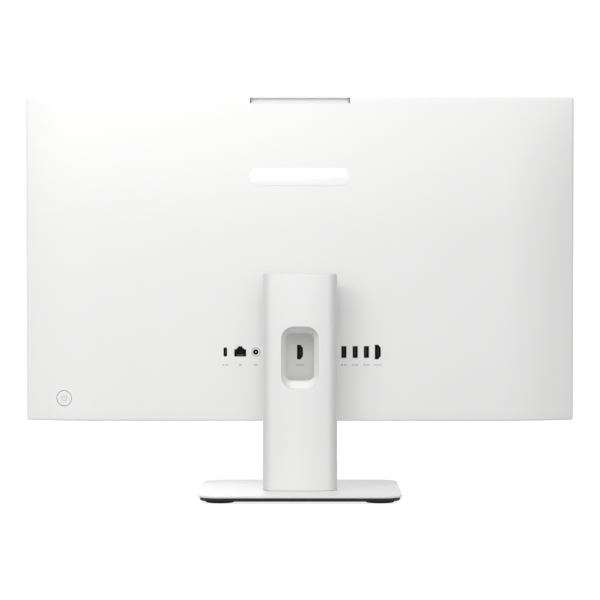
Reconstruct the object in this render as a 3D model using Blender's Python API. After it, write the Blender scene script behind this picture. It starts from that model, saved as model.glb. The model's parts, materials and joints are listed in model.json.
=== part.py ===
"""All-in-one desktop computer on a column stand, modelled as separate pieces.

Units are metres and +Z is up. The origin is the middle of the base on the desk.
The screen faces -Y, the sockets face +Y, and +X is the right hand of the user.
"""
import math

import bmesh
import bpy
from mathutils import Matrix, Vector

# ------------------------------------------------------------------ driving dimensions
GAP = 0.0003                  # clearance between neighbouring pieces

# computer head
HEAD_WIDTH = 0.612
HEAD_TOP = 0.4444
HEAD_BOTTOM = 0.0832
HEAD_FRONT = -0.034
RIM_REAR = -0.016             # rear edge along the sides and the top
PLATEAU = 0.003               # flat rear face that carries the sockets
SIDE_RAMP = 0.080             # width over which the cover swells from the side rims
TOP_RAMP = 0.150              # height over which it swells from the top rim
SEAM = -0.030                 # front frame meets rear cover here
COVER_WALL = 0.0022
RIM_RADIUS = 0.0025
SIDE_STEPS = 8
TOP_STEPS = 9

# display
FRAME_RIM = 0.0028
CHIN = 0.019
PANEL_RECESS = 0.0004
PANEL_THICKNESS = 0.0016
BACKLIGHT_REAR = -0.0276
CHASSIS_FRONT = -0.0273
CHASSIS_REAR = -0.0261

# pop-up camera
CAMERA_HALF_WIDTH = 0.0544
CAMERA_CAP_HEIGHT = 0.0070
CAMERA_LIP = 0.0012
CAMERA_BRIM = 0.0005
CAMERA_SCOOP_DEPTH = 0.006
CAMERA_CAP_FRONT = -0.027
CAMERA_NOTCH_GAP = 0.0007
CAMERA_STEM = ((-0.050, -0.0246, 0.395), (0.050, -0.0201, HEAD_TOP - CAMERA_CAP_HEIGHT - GAP))
LENS_HEIGHT = 0.432
LENS_RADIUS = 0.0032

# power button, on the sloping side of the rear cover
BUTTON_X = 0.263
BUTTON_Z = 0.1083
BUTTON_HOLE_RADIUS = 0.0089
BUTTON_RADIUS = 0.0083

# tilt hinge
HINGE_Y = 0.0115
HINGE_Z = 0.227
SHAFT_RADIUS = 0.004
SHAFT_HALF_LENGTH = 0.0334
RUNNING_BORE = 0.0041
FIXED_BORE = 0.0043
STAND_EAR = (0.020, 0.025)
STAND_EAR_RADIUS = 0.006
HEAD_EAR = (0.0294, 0.0354)
HEAD_EAR_RADIUS = 0.0079
HINGE_COVER_HALF_WIDTH = 0.0286
HINGE_COVER_WALL = 0.0016

# neck
NECK_HALF_WIDTH = 0.04035
NECK_FRONT = 0.020
NECK_SEAM = 0.0240
NECK_FRONT_STEP = 0.0009      # the front shell is this much wider on each side
NECK_FRONT_EDGE_RADIUS = 0.0035
NECK_REAR = 0.042
NECK_TOP = 0.2476
NECK_REAR_ARC = 0.160
NECK_EDGE_RADIUS = 0.012
NECK_WALL = 0.002
CABLE_HOLE_Z = 0.1555
CABLE_HOLE_MOUTH = (0.0406, 0.068, 0.0135)     # width, height, corner radius
CABLE_HOLE_THROAT = (0.0308, 0.0517, 0.0072)
LINER_WALL = 0.0013

# base
BASE_WIDTH = 0.222
BASE_DEPTH = 0.200
BASE_CORNER = 0.022
FOOT_HEIGHT = 0.0022
FOOT_RADIUS = 0.0155
FOOT_X = 0.087
FOOT_Y = 0.074
WEIGHT_BOTTOM = 0.0025
WEIGHT_TOP = 0.0061
WEIGHT_INSET = 0.002
BASE_BOTTOM = 0.0064
BASE_TOP = 0.0087
SCREW_Y = 0.026
SCREW_HEAD_RADIUS = 0.0118
SCREW_WELL_RADIUS = 0.0126
SCREW_SHANK_RADIUS = 0.0032
SCREW_BORE_RADIUS = 0.0036
SCREW_BOTTOM = 0.0029
SCREW_TOP = 0.0155

# electronics, all on one plane behind the chassis plate
BOARD_FRONT = -0.0142
BOARD_REAR = -0.0126
SOCKET_MOUTH = 0.0005
SOCKET_Z = 0.1601
SOCKET_FLOOR = -0.0085
USB_C_X = 0.0831
USB_C_SIZE = (0.0037, 0.0100, 0.0018)          # width, height, corner radius
ETHERNET_X = 0.0665
POWER_JACK_X = 0.0492
POWER_JACK_RADIUS = 0.0028
USB_A_XS = (-0.0488, -0.0614, -0.0739)
USB_A_SIZE = (0.0057, 0.0132, 0.0006)
HDMI_OUT_X = -0.0866
TONGUES = {                   # sideways shift, half thickness, half height
    "usb_c": (0.0, 0.0004, 0.0034),
    "usb_a": (0.0007, 0.0008, 0.0054),
    "hdmi": (0.0, 0.0008, 0.0055),
}
FAN_CENTRE = (-0.100, 0.240)
FAN_HALF_WIDTH = 0.035
FAN_BLADES = 13
FIN_START = -0.132
FIN_PITCH = 0.004
FIN_THICKNESS = 0.001
FIN_COUNT = 16

ROUND_STEPS = 32
CORNER_STEPS = 5


# ------------------------------------------------------------------ finishes
FINISHES = {                  # colour, roughness, metallic
    "white_plastic": ((0.86, 0.86, 0.86), 0.55, 0.0),
    "white_metal": ((0.84, 0.84, 0.84), 0.45, 0.2),
    "black_plastic": ((0.02, 0.02, 0.02), 0.50, 0.0),
    "black_metal": ((0.03, 0.03, 0.03), 0.45, 0.4),
    "rubber": ((0.015, 0.015, 0.015), 0.90, 0.0),
    "steel": ((0.55, 0.55, 0.56), 0.35, 1.0),
    "aluminium": ((0.75, 0.75, 0.76), 0.40, 1.0),
    "copper": ((0.72, 0.40, 0.25), 0.35, 1.0),
    "circuit_board": ((0.02, 0.10, 0.05), 0.50, 0.0),
    "screen": ((0.01, 0.01, 0.012), 0.25, 0.0),
    "lens": ((0.01, 0.01, 0.02), 0.05, 0.0),
}


def apply_finish(obj, finish):
    """Give the object its own material in one of the finishes."""
    color, roughness, metallic = FINISHES[finish]
    material = bpy.data.materials.new(obj.name + "_" + finish)
    material.use_nodes = True
    shader = material.node_tree.nodes["Principled BSDF"]
    shader.inputs["Base Color"].default_value = (*color, 1.0)
    shader.inputs["Roughness"].default_value = roughness
    shader.inputs["Metallic"].default_value = metallic
    obj.data.materials.append(material)


# ------------------------------------------------------------------ mesh helpers
def place(axis, u, v, t):
    """World point of outline point (u, v) at distance t along the axis."""
    if axis == "X":
        return Vector((t, u, v))
    if axis == "Y":
        return Vector((u, t, v))
    return Vector((u, v, t))


def link(name, bm, smooth=False):
    """Turn a bmesh into a linked object whose faces point out."""
    bmesh.ops.recalc_face_normals(bm, faces=bm.faces)
    mesh = bpy.data.meshes.new(name)
    bm.to_mesh(mesh)
    bm.free()
    if smooth:
        mesh.shade_smooth()
        mesh.set_sharp_from_angle(angle=math.radians(35))
    obj = bpy.data.objects.new(name, mesh)
    bpy.context.collection.objects.link(obj)
    return obj


def add_loft(bm, rings, closed=False):
    """Skin rings of equal length, with end caps or closed round on itself."""
    rows = [[bm.verts.new(point) for point in ring] for ring in rings]
    count = len(rows[0])
    pairs = list(zip(rows, rows[1:]))
    if closed:
        pairs.append((rows[-1], rows[0]))
    else:
        bm.faces.new(rows[0])
        bm.faces.new(rows[-1])
    for row, following in pairs:
        for i in range(count):
            j = (i + 1) % count
            bm.faces.new((row[i], row[j], following[j], following[i]))


def add_prism(bm, axis, outline, start, end):
    """Extrude an outline from start to end along the axis."""
    low = [place(axis, u, v, start) for u, v in outline]
    high = [place(axis, u, v, end) for u, v in outline]
    add_loft(bm, [low, high])


def add_box(bm, low, high):
    """A box between two opposite corners."""
    outline = rectangle(low[0], high[0], low[1], high[1])
    add_prism(bm, "Z", outline, low[2], high[2])


def add_turned(bm, axis, centre, profile, steps=ROUND_STEPS, closed=False):
    """Turn a profile of (radius, distance) round the axis through the centre."""
    rings = []
    for radius, t in profile:
        circle = arc(centre, radius, 0, 360, steps)[:-1]
        rings.append([place(axis, u, v, t) for u, v in circle])
    add_loft(bm, rings, closed)


def arc(centre, radius, start, end, steps):
    """Points on a circular arc between two angles in degrees."""
    points = []
    for i in range(steps + 1):
        angle = math.radians(start + (end - start) * i / steps)
        points.append((centre[0] + radius * math.cos(angle), centre[1] + radius * math.sin(angle)))
    return points


def rectangle(left, right, low, high):
    """Outline of a plain rectangle."""
    return [(left, low), (right, low), (right, high), (left, high)]


def rounded_rectangle(centre, width, height, radius, steps=CORNER_STEPS):
    """Outline of a rectangle with round corners."""
    points = []
    for turn, (sx, sy) in enumerate(((1, 1), (-1, 1), (-1, -1), (1, -1))):
        corner = (centre[0] + sx * (width / 2 - radius), centre[1] + sy * (height / 2 - radius))
        points += arc(corner, radius, 90 * turn, 90 * turn + 90, steps)
    return points


def solid(name, finish, build, *args, smooth=False, **options):
    """A finished piece whose mesh comes from one of the add_ functions."""
    bm = bmesh.new()
    build(bm, *args, **options)
    obj = link(name, bm, smooth)
    apply_finish(obj, finish)
    return obj


def box(name, finish, low, high):
    """A finished rectangular piece."""
    return solid(name, finish, add_box, low, high)


def combine(obj, operation, shapes):
    """Join or cut shapes, each given as (add_ function, arguments); they may overlap each other."""
    bm = bmesh.new()
    for build, *args in shapes:
        build(bm, *args)
    tool = link(obj.name + "_" + operation.lower(), bm)
    tool.hide_render = True
    tool.display_type = "WIRE"
    modifier = obj.modifiers.new(operation.lower(), "BOOLEAN")
    modifier.operation = operation
    modifier.object = tool
    modifier.use_self = True


def cut(obj, *shapes):
    """Remove shapes from the object."""
    combine(obj, "DIFFERENCE", shapes)


def join(obj, *shapes):
    """Add shapes, which must overlap it, to the object."""
    combine(obj, "UNION", shapes)


def round_edges(obj, width, segments, limit=40):
    """Round every edge sharper than the limit."""
    modifier = obj.modifiers.new("round_edges", "BEVEL")
    modifier.width = width
    modifier.segments = segments
    modifier.limit_method = "ANGLE"
    modifier.angle_limit = math.radians(limit)
    modifier.use_clamp_overlap = True


def pivot(name, location, parent=None):
    """An empty on a joint's axis."""
    empty = bpy.data.objects.new(name, None)
    empty.empty_display_size = 0.02
    bpy.context.collection.objects.link(empty)
    empty.location = location
    if parent:
        attach(empty, parent)
    return empty


def attach(obj, parent):
    """Parent an object and keep where it stands."""
    bpy.context.view_layer.update()
    obj.parent = parent
    obj.matrix_parent_inverse = parent.matrix_world.inverted()


# ------------------------------------------------------------------ base
def make_base():
    """White cover over a steel weight plate on four rubber feet."""
    outline = rounded_rectangle((0, 0), BASE_WIDTH, BASE_DEPTH, BASE_CORNER, 8)
    cover = solid("base_cover", "white_metal", add_prism, "Z", outline, BASE_BOTTOM, BASE_TOP)
    bore = [(SCREW_BORE_RADIUS, 0), (SCREW_BORE_RADIUS, 0.02)]
    cut(cover, (add_turned, "Z", (0, SCREW_Y), bore, 24))
    width = BASE_WIDTH - 2 * WEIGHT_INSET
    depth = BASE_DEPTH - 2 * WEIGHT_INSET
    outline = rounded_rectangle((0, 0), width, depth, BASE_CORNER - WEIGHT_INSET, 8)
    ends = (WEIGHT_BOTTOM, WEIGHT_TOP)
    weight = solid("base_weight_plate", "black_metal", add_prism, "Z", outline, *ends)
    well = [(SCREW_WELL_RADIUS, 0), (SCREW_WELL_RADIUS, 0.02)]
    cut(weight, (add_turned, "Z", (0, SCREW_Y), well, 24))
    for number, (sx, sy) in enumerate(((1, 1), (-1, 1), (-1, -1), (1, -1)), 1):
        profile = [(FOOT_RADIUS - 0.0006, 0), (FOOT_RADIUS, 0.0006), (FOOT_RADIUS, FOOT_HEIGHT)]
        centre = (sx * FOOT_X, sy * FOOT_Y)
        solid(f"rubber_foot_{number}", "rubber", add_turned, "Z", centre, profile, smooth=True)
    head_top = BASE_BOTTOM - GAP
    profile = [(SCREW_HEAD_RADIUS, SCREW_BOTTOM), (SCREW_HEAD_RADIUS, head_top),
               (SCREW_SHANK_RADIUS, head_top), (SCREW_SHANK_RADIUS, SCREW_TOP)]
    solid("stand_thumb_screw", "steel", add_turned, "Z", (0, SCREW_Y), profile, 24, smooth=True)


# ------------------------------------------------------------------ neck
def neck_rear_outline(inset):
    """Bowed rear face with round vertical edges, down to the seam with the front shell."""
    half = NECK_HALF_WIDTH - inset
    big = NECK_REAR_ARC - inset
    small = NECK_EDGE_RADIUS - inset
    big_centre = NECK_REAR - NECK_REAR_ARC
    side = NECK_HALF_WIDTH - NECK_EDGE_RADIUS
    small_centre = big_centre + math.sqrt((NECK_REAR_ARC - NECK_EDGE_RADIUS) ** 2 - side ** 2)
    lean = math.degrees(math.atan2(side, small_centre - big_centre))
    points = arc((side, small_centre), small, 0, 90 - lean, 6)
    points += arc((0, big_centre), big, 90 - lean, 90 + lean, 12)[1:-1]
    points += arc((-side, small_centre), small, 90 + lean, 180, 6)
    seam = NECK_SEAM + GAP - inset
    return [(half, seam)] + points + [(-half, seam)]


def neck_front_outline(inset):
    """Front half of the neck, with small round vertical edges."""
    wide = NECK_HALF_WIDTH + NECK_FRONT_STEP
    half = wide - inset
    radius = NECK_FRONT_EDGE_RADIUS - inset
    front = NECK_FRONT + NECK_FRONT_EDGE_RADIUS
    side = wide - NECK_FRONT_EDGE_RADIUS
    points = arc((-side, front), radius, 180, 270, 4) + arc((side, front), radius, 270, 360, 4)
    return [(-half, NECK_SEAM + inset)] + points + [(half, NECK_SEAM + inset)]


def hole_outline(size, grow=0.0):
    """Outline of the cable hole, grown all round."""
    width, height, radius = size
    return rounded_rectangle((0, CABLE_HOLE_Z), width + 2 * grow, height + 2 * grow, radius + grow)


def make_neck():
    """Two shells round a steel core, with a lined hole for the cables."""
    bottom = BASE_TOP + GAP
    outline = neck_rear_outline(0)
    rear = solid("neck_rear_shell", "white_plastic", add_prism, "Z", outline, bottom, NECK_TOP)
    cut(rear, (add_prism, "Z", neck_rear_outline(NECK_WALL), bottom - 0.01, NECK_TOP - NECK_WALL),
        (add_prism, "Y", hole_outline(CABLE_HOLE_MOUTH), 0.030, 0.050))
    outline = neck_front_outline(0)
    front = solid("neck_front_shell", "white_plastic", add_prism, "Z", outline, bottom, NECK_TOP)
    window = 0.0082
    cut(front, (add_prism, "Z", neck_front_outline(NECK_WALL), bottom - 0.01, NECK_TOP - NECK_WALL),
        (add_prism, "Y", hole_outline(CABLE_HOLE_THROAT, LINER_WALL + GAP), 0.010, 0.030),
        (add_box, (-0.0289, 0.010, HINGE_Z - window), (0.0289, 0.030, HINGE_Z + window)))
    make_liner()
    core = box("neck_core", "steel", (-0.033, 0.0305, 0.0128), (0.033, 0.0335, 0.243))
    join(core, (add_box, (-0.030, 0.0226, bottom), (0.030, 0.0335, 0.0130)))
    cut(core, (add_turned, "Z", (0, SCREW_Y), [(SCREW_BORE_RADIUS, 0), (SCREW_BORE_RADIUS, 0.02)], 24),
        (add_prism, "Y", rounded_rectangle((0, CABLE_HOLE_Z), 0.046, 0.072, 0.010), 0.020, 0.040))


def make_liner():
    """Funnel that lines the cable hole from the rear mouth to the front of the neck."""
    throat = CABLE_HOLE_THROAT
    mouth = CABLE_HOLE_MOUTH
    middle = tuple((a + b) / 2 for a, b in zip(throat, mouth))
    stations = [(mouth, 0.0382), (middle, 0.0335), (throat, 0.0285), (throat, NECK_FRONT + GAP)]
    inner = []
    outer = []
    for size, y in stations:
        inner.append([place("Y", u, v, y) for u, v in hole_outline(size)])
        outer.append([place("Y", u, v, y) for u, v in hole_outline(size, LINER_WALL)])
    rings = inner + outer[::-1]
    solid("cable_hole_liner", "white_plastic", add_loft, rings, closed=True, smooth=True)


# ------------------------------------------------------------------ hinge
def ear_outline(radius, root):
    """Strip with a round nose on the hinge axis, running to y = root."""
    turn = 90 if root < HINGE_Y else 270
    nose = arc((HINGE_Y, HINGE_Z), radius, turn, turn - 180, 12)
    return [(root, nose[0][1])] + nose + [(root, nose[-1][1])]


def add_coil(bm, coil_radius, wire_radius, half_length, turns):
    """A wire wound round the hinge axis."""
    rings = []
    steps = 10 * turns
    for i in range(steps + 1):
        angle = 2 * math.pi * turns * i / steps
        out = Vector((0, math.cos(angle), math.sin(angle)))
        x = -half_length + 2 * half_length * i / steps
        centre = Vector((x, HINGE_Y, HINGE_Z)) + coil_radius * out
        ring = []
        for along, r in arc((0, 0), wire_radius, 0, 360, 5)[:-1]:
            ring.append(centre + Vector((along, 0, 0)) + r * out)
        rings.append(ring)
    add_loft(bm, rings)


def make_stand_hinge():
    """Bracket, shaft, washers, spring and barrel cover that stay with the neck."""
    axis = (HINGE_Y, HINGE_Z)
    bracket = box("hinge_stand_bracket", "steel", (-0.031, 0.0272, 0.204), (0.031, 0.0302, 0.241))
    ears = ear_outline(STAND_EAR_RADIUS, 0.029)
    inner, outer = STAND_EAR
    join(bracket, (add_prism, "X", ears, inner, outer), (add_prism, "X", ears, -outer, -inner))
    cut(bracket, (add_turned, "X", axis, [(FIXED_BORE, -0.03), (FIXED_BORE, 0.03)], 48))
    profile = [(SHAFT_RADIUS, -SHAFT_HALF_LENGTH), (SHAFT_RADIUS, SHAFT_HALF_LENGTH)]
    solid("hinge_shaft", "steel", add_turned, "X", axis, profile, 48, smooth=True)
    for side, word in ((1, "right"), (-1, "left")):
        near = side * (outer + GAP)
        far = side * (HINGE_COVER_HALF_WIDTH - 0.0012)
        ring = [(FIXED_BORE, near), (0.0058, near), (0.0058, far), (FIXED_BORE, far)]
        solid(f"hinge_washer_{word}", "steel", add_turned, "X", axis, ring, 24, closed=True)
    solid("hinge_spring", "steel", add_coil, 0.00515, 0.00045, 0.0170, 7, smooth=True)
    inside = HEAD_EAR_RADIUS - HINGE_COVER_WALL
    skin = arc(axis, HEAD_EAR_RADIUS, 90, 270, 16)
    lining = arc(axis, inside, 270, 90, 16)
    tail = 0.0244
    top = [(tail, HINGE_Z + HEAD_EAR_RADIUS)]
    ends = [(tail, HINGE_Z - HEAD_EAR_RADIUS), (tail, HINGE_Z - inside)]
    outline = top + skin + ends + lining + [(tail, HINGE_Z + inside)]
    half = HINGE_COVER_HALF_WIDTH
    solid("hinge_cover", "white_plastic", add_prism, "X", outline, -half, half, smooth=True)


def make_head_hinge():
    """Bracket screwed to the chassis plate, whose ears pass through the rear cover to the shaft."""
    bracket = box("hinge_head_bracket", "steel", (-0.048, -0.0060, 0.196), (0.048, -0.0035, 0.256))
    ears = ear_outline(HEAD_EAR_RADIUS, -0.0050)
    inner, outer = HEAD_EAR
    posts = [(sx * 0.042, sz) for sx in (-1, 1) for sz in (0.202, 0.250)]
    leg = [(0.004, CHASSIS_REAR + GAP), (0.004, -0.0050)]
    legs = [(add_turned, "Y", post, leg, 16) for post in posts]
    join(bracket, (add_prism, "X", ears, inner, outer), (add_prism, "X", ears, -outer, -inner), *legs)
    bore = (HINGE_Y, HINGE_Z)
    deep = SHAFT_HALF_LENGTH + 0.0005
    drills = [(add_turned, "Y", post, [(0.0022, -0.016), (0.0022, 0)], 16) for post in posts]
    cut(bracket, (add_turned, "X", bore, [(RUNNING_BORE, -deep), (RUNNING_BORE, deep)], 48), *drills)
    pieces = [bracket]
    profile = [(0.0019, -0.0150), (0.0019, -0.0032), (0.0035, -0.0032), (0.0035, -0.0010)]
    for number, post in enumerate(posts, 1):
        name = f"bracket_screw_{number}"
        pieces.append(solid(name, "steel", add_turned, "Y", post, profile, 16, smooth=True))
    return pieces


# ------------------------------------------------------------------ rear cover
def swell(t):
    """Rise from 0 to 1 that levels out smoothly."""
    return 1 - (1 - min(1.0, t)) ** 2


def cover_rear(x, z):
    """Outer face of the rear cover, thin at the sides and top and full depth in the middle."""
    side = swell((HEAD_WIDTH / 2 - abs(x)) / SIDE_RAMP)
    top = swell((HEAD_TOP - z) / TOP_RAMP)
    return RIM_REAR + (PLATEAU - RIM_REAR) * side * top


def rim_distances(ramp, steps, inset, radius):
    """Distances from an edge at which the cover's grid has its lines."""
    turns = (90, 60, 30) if radius else ()
    rim = [radius * (1 - math.sin(math.radians(turn))) for turn in turns]
    return rim + [max(inset, radius)] + [ramp * i / steps for i in range(1, steps + 1)]


def cover_point(x, z, inset, radius):
    """Point of the rear face, with the rim and the corners rounded to the radius."""
    middle = (HEAD_TOP + HEAD_BOTTOM) / 2
    flat_x = HEAD_WIDTH / 2 - radius
    flat_z = (HEAD_TOP - HEAD_BOTTOM) / 2 - radius
    out_x = max(0.0, abs(x) - flat_x)
    out_z = max(0.0, abs(z - middle) - flat_z)
    reach = min(radius, max(out_x, out_z))
    if reach > 0:
        scale = reach / math.hypot(out_x, out_z)
        x = math.copysign(min(abs(x), flat_x) + out_x * scale, x)
        z = middle + math.copysign(min(abs(z - middle), flat_z) + out_z * scale, z - middle)
    drop = radius - math.sqrt(radius ** 2 - reach ** 2)
    return Vector((x, cover_rear(x, z) - inset - drop, z))


def add_cover_block(bm, inset, front, radius=0.0):
    """Solid with the cover's rear face and side walls, all moved inwards by the inset."""
    sides = rim_distances(SIDE_RAMP, SIDE_STEPS, inset, radius)
    tops = rim_distances(TOP_RAMP, TOP_STEPS, inset, radius)
    feet = rim_distances(0, 0, inset, radius)
    half = HEAD_WIDTH / 2
    columns = [-half + step for step in sides] + [half - step for step in reversed(sides)]
    rows = [HEAD_TOP - step for step in tops] + [HEAD_BOTTOM + step for step in reversed(feet)]
    grid = [[bm.verts.new(cover_point(x, z, inset, radius)) for x in columns] for z in rows]
    for upper, lower in zip(grid, grid[1:]):
        for i in range(len(columns) - 1):
            bm.faces.new((upper[i], lower[i], lower[i + 1], upper[i + 1]))
    edge = grid[0] + [row[-1] for row in grid[1:-1]]
    edge += grid[-1][::-1] + [row[0] for row in grid[-2:0:-1]]
    screen_side = [bm.verts.new((vert.co.x, front, vert.co.z)) for vert in edge]
    for i, vert in enumerate(edge):
        j = (i + 1) % len(edge)
        bm.faces.new((vert, screen_side[i], screen_side[j], edge[j]))
    bm.faces.new(screen_side)


def socket_outlines():
    """Name, centre x and opening outline of each socket, in order from +X to -X."""
    items = [("usb_c_port", USB_C_X, socket_slot(USB_C_X, USB_C_SIZE, 6))]
    items.append(("ethernet_jack", ETHERNET_X, ethernet_outline(ETHERNET_X)))
    barrel = arc((POWER_JACK_X, SOCKET_Z), POWER_JACK_RADIUS, 0, 360, 24)[:-1]
    items.append(("dc_power_jack", POWER_JACK_X, barrel))
    items.append(("hdmi_in_port", 0.0, hdmi_outline(0.0)))
    for number, x in enumerate(USB_A_XS, 1):
        items.append((f"usb_a_port_{number}", x, socket_slot(x, USB_A_SIZE, 2)))
    items.append(("hdmi_out_port", HDMI_OUT_X, hdmi_outline(HDMI_OUT_X)))
    return items


def socket_slot(x, size, steps):
    """Upright rounded slot of a width, a height and a corner radius."""
    width, height, radius = size
    return rounded_rectangle((x, SOCKET_Z), width, height, radius, steps)


def hdmi_outline(x):
    """Upright slot with a straight long side towards +X and bevelled corners towards -X."""
    z = SOCKET_Z
    half = 0.0081
    short = 0.0044
    wide = 0.0033
    bevel = -0.0006
    return [(x + wide, z - half), (x + wide, z + half), (x + bevel, z + half), (x - wide, z + short),
            (x - wide, z - short), (x + bevel, z - half)]


def ethernet_outline(x):
    """Wide opening with a stepped notch on top for the plug's latch."""
    low = SOCKET_Z - 0.0050
    shoulder = low + 0.0080
    step = shoulder + 0.0014
    top = low + 0.0113
    steps = ((0.00655, low), (0.00655, shoulder), (0.0042, shoulder), (0.0042, step), (0.0025, step),
             (0.0025, top))
    right = [(x + half, z) for half, z in steps]
    left = [(x - half, z) for half, z in reversed(steps)]
    return right + left


def button_frame():
    """Matrix whose +Z points out of the rear cover at the power button."""
    slope = 1e-4
    rise = cover_rear(BUTTON_X + slope, BUTTON_Z) - cover_rear(BUTTON_X - slope, BUTTON_Z)
    lean = rise / (2 * slope)
    outward = Vector((-lean, 1, 0)).normalized()
    turn = outward.to_track_quat("Z", "Y").to_matrix().to_4x4()
    return Matrix.Translation((BUTTON_X, cover_rear(BUTTON_X, BUTTON_Z), BUTTON_Z)) @ turn


def add_turned_at(bm, matrix, profile, steps=ROUND_STEPS):
    """Turn a profile round the local Z axis of a matrix."""
    rings = []
    for radius, t in profile:
        rings.append([matrix @ Vector((u, v, t)) for u, v in arc((0, 0), radius, 0, 360, steps)[:-1]])
    add_loft(bm, rings)


def bottom_slots():
    """Boxes that cut the air slots and the speaker slots through the bottom wall."""
    boxes = []
    pitch = 0.008
    for first, count, width in ((-0.120, 31, 0.0036), (-0.208, 9, 0.0024), (0.144, 9, 0.0024)):
        for i in range(count):
            x = first + pitch * i
            low = (x - width / 2, -0.020, HEAD_BOTTOM - 0.002)
            boxes.append((add_box, low, (x + width / 2, -0.006, HEAD_BOTTOM + 0.004)))
    return boxes


def make_rear_cover():
    """Swelling shell with openings for sockets, hinge, button, camera, air and sound."""
    block = (0.0, SEAM + GAP, RIM_RADIUS)
    cover = solid("rear_cover", "white_plastic", add_cover_block, *block, smooth=True)
    cut(cover, (add_cover_block, COVER_WALL, SEAM - 0.010))
    notch_half = CAMERA_HALF_WIDTH + CAMERA_NOTCH_GAP
    notch_low = HEAD_TOP - CAMERA_CAP_HEIGHT - GAP
    inner, outer = HEAD_EAR
    gap = 0.0005
    tall = HEAD_EAR_RADIUS + gap
    openings = [(add_prism, "Y", outline, -0.005, 0.010) for _, _, outline in socket_outlines()]
    notch = (-notch_half, CAMERA_CAP_FRONT - 0.0005, notch_low)
    openings.append((add_box, notch, (notch_half, 0.0, HEAD_TOP + 0.010)))
    for side in (-1, 1):
        xs = sorted((side * (inner - gap), side * (outer + gap)))
        openings.append((add_box, (xs[0], -0.005, HINGE_Z - tall), (xs[1], 0.010, HINGE_Z + tall)))
    radius = BUTTON_HOLE_RADIUS
    openings.append((add_turned_at, button_frame(), [(radius, -0.008), (radius, 0.006)]))
    cut(cover, *openings, *bottom_slots())
    return cover


# ------------------------------------------------------------------ sockets
def make_sockets():
    """Connector bodies on the board, each with a pocket and its contact tongue or pin."""
    pieces = []
    wall = 0.0008
    root = SOCKET_FLOOR - 0.001
    tip = -0.0010
    for name, x, outline in socket_outlines():
        us = [u for u, _ in outline]
        vs = [v for _, v in outline]
        low = (min(us) - wall, BOARD_REAR + GAP, min(vs) - wall)
        high = (max(us) + wall, SOCKET_MOUTH, max(vs) + wall)
        finish = "black_plastic" if name.endswith("jack") else "steel"
        socket = box(name, finish, low, high)
        cut(socket, (add_prism, "Y", outline, SOCKET_FLOOR, 0.002))
        if name == "dc_power_jack":
            join(socket, (add_turned, "Y", (x, SOCKET_Z), [(0.0006, root), (0.0006, tip)], 12))
        elif name == "ethernet_jack":
            comb_low = (x - 0.0040, root, min(vs) - 0.0002)
            join(socket, (add_box, comb_low, (x + 0.0040, tip, min(vs) + 0.0012)))
        else:
            shift, thick, half = next(size for kind, size in TONGUES.items() if name.startswith(kind))
            tongue_low = (x + shift - thick, root, SOCKET_Z - half)
            join(socket, (add_box, tongue_low, (x + shift + thick, tip, SOCKET_Z + half)))
        pieces.append(socket)
    return pieces


# ------------------------------------------------------------------ display and chassis
def make_display():
    """Front frame, panel, backlight and the steel chassis plate behind them."""
    half = HEAD_WIDTH / 2
    corner = (-half, HEAD_FRONT, HEAD_BOTTOM)
    frame = box("front_frame", "white_plastic", corner, (half, SEAM, HEAD_TOP))
    inner = half - FRAME_RIM
    low = HEAD_BOTTOM + CHIN
    high = HEAD_TOP - FRAME_RIM
    cut(frame, (add_box, (-inner, HEAD_FRONT - 0.01, low), (inner, SEAM + 0.01, high)))
    round_edges(frame, 0.0008, 2)
    face = HEAD_FRONT + PANEL_RECESS
    rear = face + PANEL_THICKNESS
    side = inner - GAP
    panel = box("lcd_panel", "screen", (-side, face, low + GAP), (side, rear, high - GAP))
    light_low = (-side, rear + GAP, low + GAP)
    light = box("backlight_module", "aluminium", light_low, (side, BACKLIGHT_REAR, high - GAP))
    plate_low = (-0.300, CHASSIS_FRONT, 0.088)
    chassis = box("chassis_plate", "steel", plate_low, (0.300, CHASSIS_REAR, 0.434))
    windows = [(add_box, (x - 0.030, -0.03, z - 0.030), (x + 0.030, -0.02, z + 0.030))
               for x in (-0.21, 0.21) for z in (0.20, 0.34)]
    cut(chassis, *windows)
    return [frame, panel, light, chassis]


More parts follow.
